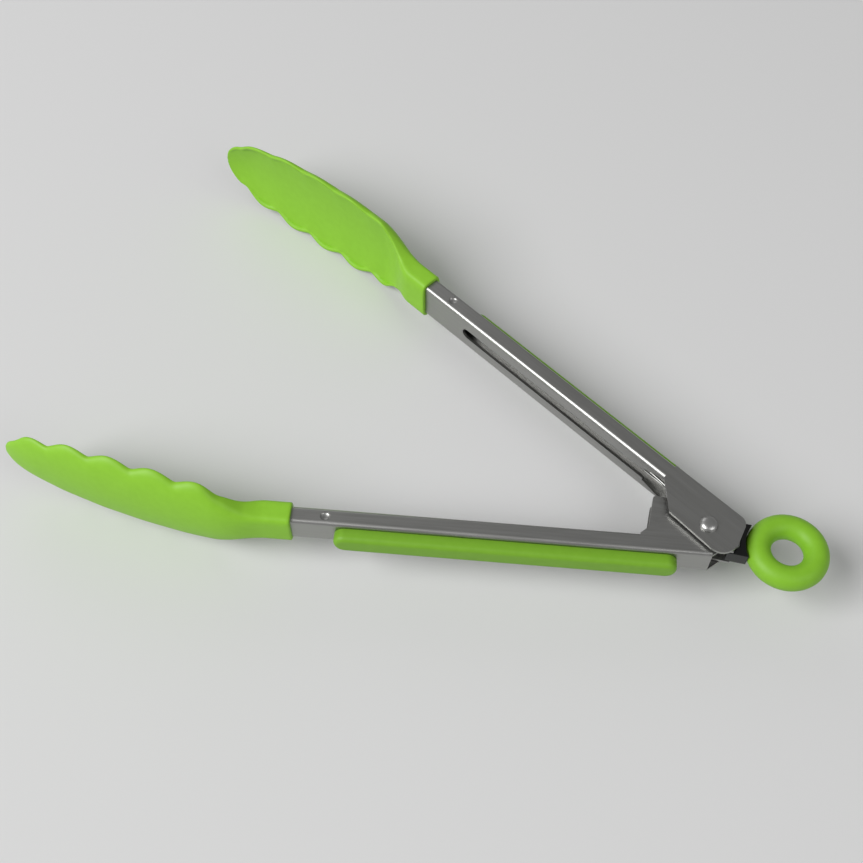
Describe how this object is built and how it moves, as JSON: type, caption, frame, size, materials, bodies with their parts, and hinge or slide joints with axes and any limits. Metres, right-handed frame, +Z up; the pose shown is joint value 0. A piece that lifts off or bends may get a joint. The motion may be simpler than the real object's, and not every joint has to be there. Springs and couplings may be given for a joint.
{
  "type": "kitchen tongs",
  "caption": "Spring loaded kitchen tongs: two slotted steel channel arms with grip pads and scalloped silicone heads, opened by a coil spring, with a ring that slides to lock them shut.",
  "frame": {"origin": "centre of the bounding box at its base, on the surface that the open tongs lie on, resting on the edges of both heads", "axes": "+X from the heads towards the pivot and the ring, +Y from the lower arm towards the upper arm, +Z up along the pivot rivet"},
  "size_m": [0.248, 0.1444, 0.036],
  "materials": {
    "steel": "brushed stainless sheet",
    "bright_steel": "polished stainless",
    "spring_steel": "drawn spring wire",
    "green_silicone": "matte silicone",
    "white_nylon": "moulded nylon",
    "black_nylon": "glossy moulded nylon"
  },
  "bodies": {
    "pivot": {"pivot_rivet": "bright_steel", "torsion_spring": "spring_steel", "pivot_washer_near": "bright_steel", "pivot_washer_far": "bright_steel"},
    "upper": {"upper_arm": "steel", "upper_grip": "green_silicone", "upper_head": "green_silicone", "upper_head_core": "white_nylon"},
    "lower": {"lower_arm": "steel", "lower_grip": "green_silicone", "lower_head": "green_silicone", "lower_head_core": "white_nylon"},
    "lock_guide": {"guide_bush_near": "bright_steel", "guide_bush_far": "bright_steel"},
    "lock": {"lock_plate_near": "steel", "lock_plate_far": "steel", "lock_body": "black_nylon", "ring_cover": "green_silicone"}
  },
  "joints": [
    {"name": "upper_arm_squeeze", "type": "hinge", "parent": "pivot", "child": "upper", "pos_m": [0.08752, -0.00503, 0.018], "axis": [0, 0, 1], "range_deg": [0, 18.8], "stiffness_Nm_per_rad": 0.6, "springref_deg": -20.05, "deforming": ["torsion_spring"]},
    {"name": "lower_arm_squeeze", "type": "hinge", "parent": "pivot", "child": "lower", "pos_m": [0.08752, -0.00503, 0.018], "axis": [0, 0, 1], "range_deg": [-18.8, 0], "stiffness_Nm_per_rad": 0.6, "springref_deg": 20.05, "deforming": ["torsion_spring"]},
    {"name": "lock_swing", "type": "hinge", "parent": "pivot", "child": "lock_guide", "pos_m": [0.08752, -0.00503, 0.018], "axis": [0, 0, 1], "range_deg": [-12.25, 0]},
    {"name": "lock_push", "type": "slide", "parent": "lock_guide", "child": "lock", "axis": [-0.9774, -0.2113, 0], "range_m": [0, 0.007]}
  ],
  "couplings": [
    {"joint": "lower_arm_squeeze", "follows": "upper_arm_squeeze", "ratio": -1},
    {"joint": "lock_swing", "follows": "upper_arm_squeeze", "ratio": -0.6489}
  ]
}
